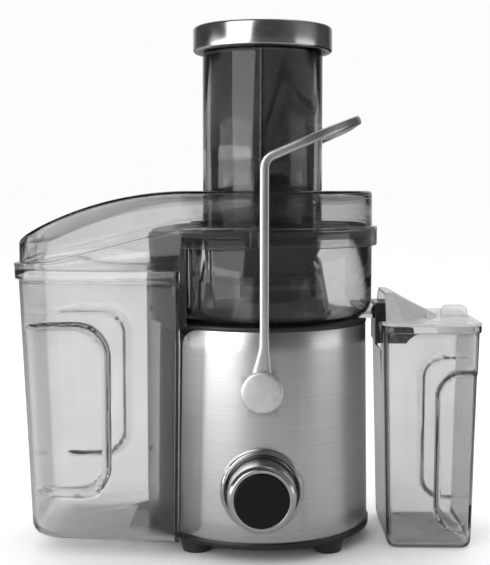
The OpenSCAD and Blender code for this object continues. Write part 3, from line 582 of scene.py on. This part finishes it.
def cover():
    def ring(o, height, lift=0.0):
        return [(x, y, height(x) + lift) for x, y in mirrored(cover_half(o))]

    def sheet(o, share, drop):
        """A ring on the top sheet, a share of the way from the chute out to the outline."""
        out = []
        for x, y in mirrored(cover_half(o)):
            a = math.atan2(y, x)
            cx, cy = CHUTE_R * math.cos(a), CHUTE_R * math.sin(a)
            px, py = cx + (x - cx) * share, cy + (y - cy) * share
            out.append((px, py, crown(px, drop)))
        return out

    wall, edge, parts = 2.5, 2.6, 14
    rings = [sheet(-edge, k / parts, 0) for k in range(parts + 1)]
    for a in (25, 50, 75):
        c, s = math.cos(math.radians(a)), math.sin(math.radians(a))
        rings.append(ring(-edge * (1 - s), crown, -edge * (1 - c)))
    # Down the outside, out over the ledge, down the skirt, and back up inside
    rings += [ring(*place) for place in (
        (0, crown, -edge), (0, ledge, 0.9), (0.25, ledge, 0.2), (0.9, ledge),
        (SKIRT_OUT - 0.9, ledge), (SKIRT_OUT - 0.2, ledge, -0.25), (SKIRT_OUT, ledge, -1),
        (SKIRT_OUT, skirt_foot, 0.5), (SKIRT_OUT - 0.4, skirt_foot), (1.2, skirt_foot), (0.8, skirt_foot, 0.4),
        (0.8, ledge, -wall), (-wall, ledge, -wall), (-wall, lambda x: crown(x, wall), -1.5))]
    rings += [sheet(-wall - 1, k / parts, wall) for k in range(parts, -1, -1)]
    islands = [loft(rings, capped=False, wrapped=True)]
    # The pad on each side that the arm's stud bears on, and the rib below it
    for side in (-1, 1):
        islands += [block((-6, side * 86.2, LEDGE_Z - 0.5), (4.5, side * 90.4, LEDGE_Z + 2.1)),
                    block((-8.2, side * 85.3, LEDGE_Z - 12), (-2.2, side * 91, LEDGE_Z - 1))]
    built("top_cover_shell", islands, "top_cover")


def block(low, high, e=0.5):
    """A box with its edges cut back by e."""
    (x0, y0, z0), (x1, y1, z1) = low, high
    y0, y1 = min(y0, y1), max(y0, y1)
    rings = []
    for z, i in ((z0, e), (z0 + e, 0), (z1 - e, 0), (z1, e)):
        left, right, front, back = x0 + i, x1 - i, y0 + i, y1 - i
        rings.append([(left + e, front, z), (right - e, front, z), (right, front + e, z), (right, back - e, z),
                      (right - e, back, z), (left + e, back, z), (left, back - e, z), (left, front + e, z)])
    return loft(rings)


# ---------------------------------------------------------------- jug

JUG_LOW, JUG_HIGH = span("juice_jug")
JUG_RIM = 1.3
JUG_CORNER = 9
# How far the walls come in on the way down: the wall at the base, the end wall and the sides
JUG_TAPER = (4, 3.3, 5)
# The notch under the spout: height it is drawn from, depth, half width, and where its sloping side starts and ends
NOTCH_FROM, NOTCH_DEPTH, NOTCH_HALF, NOTCH_SIDE = 120, 22, 22, (21.6, 22.2)
# Where the points of the jug's long side lie along it: close together at the grip's edge
JUG_SHARES = finely(0, 1, 0.06, 0.016, [(0.4, 0.75)])[1:]


def jug_ring(inset, z, share, rim, grow):
    """The jug's outline, moved in by inset, a share of the way from its rim down to its floor."""
    left = JUG_LOW.x + JUG_RIM + JUG_TAPER[0] * share + inset - rim
    right = JUG_HIGH.x - JUG_RIM - JUG_TAPER[1] * share - inset + rim
    half = JUG_HIGH.y - JUG_RIM - JUG_TAPER[2] * share - inset + rim
    r = max(JUG_CORNER - inset + rim, 2.5)
    front = [(left, -min(y, half - r - 0.5))
             for y in evenly(0, 21.2, 8) + evenly(21.2, 22.6, 6) + evenly(22.6, 36, 6)]
    front += arc_points(left + r, -half + r, r, 180, 270, 8)
    front += [(left + r + (right - left - 2 * r) * along, -half) for along in JUG_SHARES]
    front += arc_points(right - r, -half + r, r, -90, 0, 10)[1:]
    front += [(right, y) for y in evenly(-half + r, 0, 12)[1:]] + [(right, 0.0)]
    ring = []
    for x, y in mirrored(front):
        y_in = pressed_in(x, y, z, JUG_GRIP, grow) if x > 112 else y
        height, out = z, 0
        if z > NOTCH_FROM and x < left + 1:
            top = JUG_HIGH.z - NOTCH_DEPTH * (1 - smooth_step(*NOTCH_SIDE, abs(y)))
            height = NOTCH_FROM + (z - NOTCH_FROM) * (top - NOTCH_FROM) / (JUG_HIGH.z - NOTCH_FROM)
            out = rim if abs(y) < NOTCH_HALF else 0
        ring.append((x + out, y_in, height))
    return ring


def jug():
    top = JUG_HIGH.z
    zones = [(4, 38), (106, 140)]

    def level(z, inset, rim=0.0, grow=0.0):
        return jug_ring(inset, z, min((top - z) / (top - 6), 1), rim, grow)

    # Height and outline of the floor's edge, the rim, the rim's inner edge and the floor's inner edge
    foot = [(0, 5), (0.5, 3), (1.7, 1.4), (3.6, 0.4)]
    lip = [(-5.1, 0.2), (-5, 0.9), (-4.6, JUG_RIM), (-0.7, JUG_RIM), (-0.15, 1.0), (0, 0.5)]
    mouth = [(0, -0.6), (-0.5, 0)]
    bed = [(3, 0.8), (0.9, 2.4), (0, 5)]
    rings = [level(h, inset) for h, inset in foot]
    rings += [level(z, 0) for z in wall_rings(6, top - 5.6, zones)]
    rings += [level(top + h, 0, rim) for h, rim in lip]
    rings += [level(top + h, THIN + inset, 0, THIN) for h, inset in mouth]
    rings += [level(z, THIN, 0, THIN) for z in reversed(wall_rings(THIN + 6, top - 6, zones))]
    rings += [level(THIN + h, THIN + inset, 0, THIN) for h, inset in bed]
    built("juice_jug_shell", [loft(rings)], "juice_jug")


# ---------------------------------------------------------------- locking arm

BAR_THICK, BAR_WIDE = 4.5, 6.4
# How far the legs stand to the right of the pivots, and how square the bar's section is (1 is round)
LEAN_X = 1.5
SQUARE = 0.6
BAR_SIDES = 20
# Height over the pivot and width of the bar, up a leg from the eye
LEG = ((8, 13.2), (14, 13.2), (22, 10), (30, 6.8), (38, 6.4), (60, 6.4), (90, 6.4), (120, 6.4))
# The handle's slope, the radius of the bend up to it, and the height where leg and handle would meet unbent
HANDLE_SLOPE = math.radians(23.2)
BEND, BEND_Z = 9.0, 283.5
# The handle's loop: length from the bend and corner radius
REACH, CORNER = 66.0, 45.0
EYE_R, EYE_BORE = 12.5, 4.1
STUD_R = 2.6


def eye_height():
    low, high = span("arm_pins")
    return (low.z + high.z) / 2


def bar_stations(mid_y, pivot):
    """Centre, normal in the bar's plane, direction across and width, all along the bar."""
    stations = []
    for z, w in LEG:
        share = min(max((z - 14) / 16, 0), 1)
        stations.append(((LEAN_X * share, -mid_y, pivot + z), (-1, 0, 0), (0, 1, 0), w))
    turn = math.pi / 2 - HANDLE_SLOPE
    bend_z = BEND_Z - BEND * math.tan(turn / 2)
    for i in range(9):
        a = turn * i / 8
        n = (-math.cos(a), 0, math.sin(a))
        centre = (LEAN_X + BEND + BEND * n[0], -mid_y, bend_z + BEND * n[2])
        stations.append((centre, n, (0, 1, 0), BAR_WIDE))
    run, rise = math.cos(HANDLE_SLOPE), math.sin(HANDLE_SLOPE)
    n = (-rise, 0, run)
    base_x, base_z = LEAN_X + BEND + BEND * n[0], bend_z + BEND * n[2]

    def on_loop(u, y, across):
        """A station on the handle, u along its slope."""
        return ((base_x + u * run, y, base_z + u * rise), n, across, BAR_WIDE)

    straight = REACH - CORNER
    stations += [on_loop(straight * i / 4, -mid_y, (0, 1, 0)) for i in range(1, 4)]
    for i in range(17):
        a = math.radians(-90 + 90 * i / 16)
        c, s = math.cos(a), math.sin(a)
        stations.append(on_loop(straight + CORNER * c, -mid_y + CORNER + CORNER * s, (-c * run, -s, -c * rise)))
    mirror = [((c[0], -c[1], c[2]), m, (d[0], -d[1], d[2]), w) for c, m, d, w in reversed(stations)]
    stations += [on_loop(REACH, (mid_y - CORNER) * (i / 2 - 1), (-run, 0, -rise)) for i in range(1, 4)]
    return stations + mirror


def arm():
    """A bar of rounded section: up one leg, round the handle's loop and down the other leg."""
    out_y, pivot = span("locking_arm")[1].y, eye_height()
    rings = []
    for centre, normal, across, width in bar_stations(out_y - BAR_THICK / 2, pivot):
        ring = []
        for k in range(BAR_SIDES):
            a = 2 * math.pi * k / BAR_SIDES
            u = math.copysign(abs(math.cos(a)) ** SQUARE, math.cos(a)) * width / 2
            v = math.copysign(abs(math.sin(a)) ** SQUARE, math.sin(a)) * BAR_THICK / 2
            ring.append(tuple(centre[i] + u * normal[i] + v * across[i] for i in range(3)))
        rings.append(ring)
    islands = [loft(rings)]
    for s in (-1, 1):
        inner, outer, e = s * (out_y - BAR_THICK), s * out_y, 0.6 * s
        eye = [(EYE_BORE, inner), (EYE_R - 0.6, inner), (EYE_R, inner + e), (EYE_R, outer - e),
               (EYE_R - 0.6, outer), (EYE_BORE, outer)]
        stud = [(0.01, inner + s), (STUD_R, inner + s), (STUD_R, inner - 3.1 * s), (STUD_R - 0.5, inner - 3.6 * s),
                (0.01, inner - 3.6 * s)]
        islands += [turned(eye, (0, pivot), 64), turned(stud, (LEAN_X, LEDGE_Z + 5.2), 32)]
    built("locking_arm_bar", islands, "locking_arm", 50)


def caps():
    """Slightly domed caps on the arm's pivots."""
    low, high = span("arm_caps")
    pivot = (low.z + high.z) / 2
    r = (high.x - low.x) / 2
    islands = []
    for s, face in ((-1, low.y), (1, high.y)):
        back = face - 3.98 * s
        islands.append(turned([(0.01, back), (r - 0.5, back), (r, back + 0.5 * s), (r, face - 1.5 * s),
                               (r - 0.25, face - 1.05 * s), (r - 0.9, face - 0.65 * s), (r - 2.2, face - 0.42 * s),
                               (r * 0.6, face - 0.14 * s), (r * 0.3, face - 0.03 * s), (0.01, face)], (0, pivot)))
    built("arm_caps_domed", islands, "arm_caps", 50)


def bezel():
    """A round-edged ring that follows the curve of the wrap behind it."""
    low, high = span("dial_bezel")
    cz, r = (low.z + high.z) / 2, (high.x - low.x) / 2
    wrap_low, wrap_high = span("steel_wrap")
    # The wrap is a cone: its radius at the foot and at the top
    r_low, r_high = wrap_high.x, wrap_high.x - 2
    gap, steps = 0.06, 128
    # Distance from the rim, and share of the way from the wrap out to the face
    section = [(0, 0), (-0.25, 0.75), (-0.9, 0.95), (-2.1, 1.0), (-3.3, 0.93), (-3.9, 0.75), (-4.1, 0)]
    rings = []
    for d, share in section:
        ring = []
        for i in range(steps):
            a = 2 * math.pi * i / steps
            x, z = (r + d) * math.cos(a), cz + (r + d) * math.sin(a)
            wall = r_low + (r_high - r_low) * (z - wrap_low.z) / (wrap_high.z - wrap_low.z) + gap
            back = -math.sqrt(wall ** 2 - x ** 2)
            ring.append((x, back + (low.y - back) * share, z))
        rings.append(ring)
    built("dial_bezel_ring", [loft(rings, capped=False, wrapped=True)], "dial_bezel", 50)


container()
cover()
jug()
arm()
caps()
bezel()
# Edge radius in millimetres for each CAD piece that keeps its shape
for node, radius in {
    "steel_wrap": 0.25, "motor_deck": 0.5, "bottom_cover": 0.6, "rubber_feet": 0.5, "pivot_bushes": 0.4,
    "cord_gland": 0.5, "juice_bowl": 0.4, "bowl_collar": 0.4, "juice_spout": 0.7, "pulp_deck": 0.35,
    "pulp_shield": 0.4, "feed_chute": 0.7, "basket_hub": 0.4, "basket_rim": 0.6, "pusher_body": 0.5,
    "pusher_cap": 0.35, "control_knob": 0.4, "jug_lid": 0.5, "cooling_fan": 0.25, "base_housing": 0.4,
}.items():
    softened(node, radius, 12 if node in ("jug_lid", "juice_spout") else 30)


# ---------------------------------------------------------------- stage

def floor_and_flags():
    """A pale floor wide enough for every view, and two dark flags lying on it that only reflections see."""
    def sheet(name, low, high, z):
        (x0, y0), (x1, y1) = low, high
        mesh = bpy.data.meshes.new(name)
        mesh.from_pydata([(x0, y0, z), (x1, y0, z), (x1, y1, z), (x0, y1, z)], [], [(0, 1, 2, 3)])
        obj = bpy.data.objects.new(name, mesh)
        bpy.context.scene.collection.objects.link(obj)
        return obj

    floor = sheet("floor", (-30, -30), (30, 30), 0)
    made, tree, shader, coords = start("pale_floor", Roughness=0.6)
    shader.inputs["Specular IOR Level"].default_value = 0.0
    link(tree, shader, colour=tint(tree, noise(tree, coords, 4, 2), grey(0.94), grey(0.96)))
    paint(floor, made)
    made, tree, shader, coords = start("flag_cloth", Roughness=0.9)
    link(tree, shader, colour=tint(tree, noise(tree, coords, 60, 2), grey(0.03), grey(0.05)))
    for flag in (sheet("flag_front", (-0.45, -4), (3, -1.3), 0.002),
                 sheet("flag_right", (0.3, 0.12), (3, 3), 0.003)):
        paint(flag, made)
        flag.visible_camera = flag.visible_diffuse = flag.visible_transmission = flag.visible_shadow = False


# How bright the room is to reflections: degrees round from the front, positive to the right, and brightness
ROOM = ((-180, 0.9), (-162, 0.7), (-140, 0.08), (-104, 0.05), (-70, 0.05), (-20, 0.05), (20, 0.05), (48, 0.1),
        (64, 0.22), (88, 0.22), (104, 0.08), (140, 0.05), (164, 0.6), (180, 0.9))
# How bright it is to the camera and as light, and how much more of that light comes from behind
BACKDROP, AMBIENT, FROM_BEHIND = 0.975, 1.04, 0.75


def sky():
    """A pale room. Reflections see it dark in front and at the sides, and bright behind."""
    world = bpy.data.worlds.new("studio")
    bpy.context.scene.world = world
    world.use_nodes = True
    tree = world.node_tree
    tree.nodes.clear()
    direction = add(tree, "TexCoord").outputs["Generated"]
    split = add(tree, "SeparateXYZ", {"Vector": direction})
    ahead = add(tree, "Math", {0: split.outputs["Y"], 1: -1.0}, operation="MULTIPLY").outputs[0]
    turn = add(tree, "Math", {0: split.outputs["X"], 1: ahead}, operation="ARCTAN2").outputs[0]
    place = add(tree, "MapRange", {"Value": turn, "From Min": -math.pi, "From Max": math.pi}).outputs[0]
    ramp = add(tree, "ValToRGB", {"Fac": place})
    elements = ramp.color_ramp.elements
    while len(elements) < len(ROOM):
        elements.new(0.5)
    for element, (angle, value) in zip(elements, ROOM):
        element.position = (angle + 180) / 360
        element.color = grey(value)
    path = add(tree, "LightPath")
    room = add(tree, "Background", {"Color": ramp.outputs["Color"], "Strength": 1.0})
    seen = spread(tree, path.outputs["Diffuse Depth"], BACKDROP, AMBIENT, (0, 1))
    behind = add(tree, "Math", {0: split.outputs["Y"], 1: path.outputs["Diffuse Depth"]},
                 operation="MULTIPLY").outputs[0]
    lean = add(tree, "Math", {0: behind, 1: FROM_BEHIND, 2: 1.0}, operation="MULTIPLY_ADD").outputs[0]
    level = add(tree, "Math", {0: seen, 1: lean}, operation="MULTIPLY").outputs[0]
    pale = add(tree, "Background", {"Color": grey(1), "Strength": level})
    reflected = add(tree, "Math", {0: path.outputs["Glossy Depth"], 1: 1.0}, operation="MINIMUM").outputs[0]
    mixed = add(tree, "MixShader", {0: reflected, 1: pale.outputs[0], 2: room.outputs[0]})
    output = add(tree, "OutputWorld")
    tree.links.new(mixed.outputs[0], output.inputs["Surface"])


# Height that every lamp is aimed at
AIM_Z = 0.2


def softbox(name, azimuth, distance, height, width, tall, power):
    """A lit panel round the object. Azimuth 0 is in front, positive to the right."""
    lamp = bpy.data.lights.new(name, "AREA")
    lamp.shape = "RECTANGLE"
    lamp.size = width
    lamp.size_y = tall
    lamp.energy = power
    obj = bpy.data.objects.new(name, lamp)
    a = math.radians(azimuth)
    obj.location = (distance * math.sin(a), -distance * math.cos(a), height)
    aim = Vector((0, 0, AIM_Z)) - obj.location
    obj.rotation_euler = aim.to_track_quat("-Z", "Y").to_euler()
    obj.visible_camera = False
    bpy.context.scene.collection.objects.link(obj)


def camera():
    """The camera, at the place worked out from points measured in the photo."""
    lens = bpy.data.cameras.new("camera")
    lens.lens = 70.1
    lens.sensor_width = 36
    obj = bpy.data.objects.new("camera", lens)
    obj.location = AXIS + Vector((0.0007, -0.8361, 0.2628))
    obj.rotation_euler = (math.radians(90 - 4.82), 0, math.radians(0.95))
    bpy.context.scene.collection.objects.link(obj)
    bpy.context.scene.camera = obj


bpy.context.scene.view_settings.view_transform = "Standard"
floor_and_flags()
sky()
softbox("key_left", azimuth=-38, distance=1.6, height=0.9, width=1.3, tall=1.3, power=13)
softbox("strip_left", azimuth=-57, distance=1.6, height=0.2, width=2.25, tall=0.4, power=7.4)
softbox("fill_right", azimuth=74, distance=1.6, height=0.2, width=1.1, tall=0.4, power=1.4)
softbox("top", azimuth=170, distance=0.7, height=1.7, width=1.6, tall=1.6, power=6)
camera()
